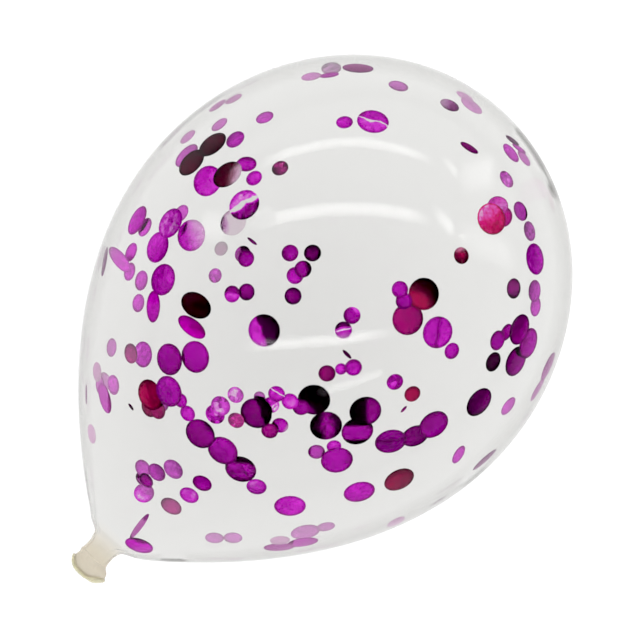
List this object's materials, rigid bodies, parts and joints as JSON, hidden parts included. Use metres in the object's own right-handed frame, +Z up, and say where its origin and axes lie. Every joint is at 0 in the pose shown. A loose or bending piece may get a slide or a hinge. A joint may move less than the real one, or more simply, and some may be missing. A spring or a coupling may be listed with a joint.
{
  "type": "sequin balloon",
  "caption": "Clear inflated latex balloon with metallic foil discs inside, lying on its side, with a short neck pressed flat and closed at a rolled lip.",
  "frame": {"origin": "middle of the small flat spot that the balloon lies on", "axes": "+X towards the crown, -X towards the neck, +Z up; the balloon's own axis lies in the XZ plane, its neck end 13.5 degrees below level"},
  "size_m": [0.387, 0.2906, 0.2914],
  "materials": {
    "clear_latex": "clear, glossy",
    "magenta_foil": "metallised film, mirror"
  },
  "bodies": {
    "root": {"balloon": "clear_latex"}
  },
  "joints": []
}
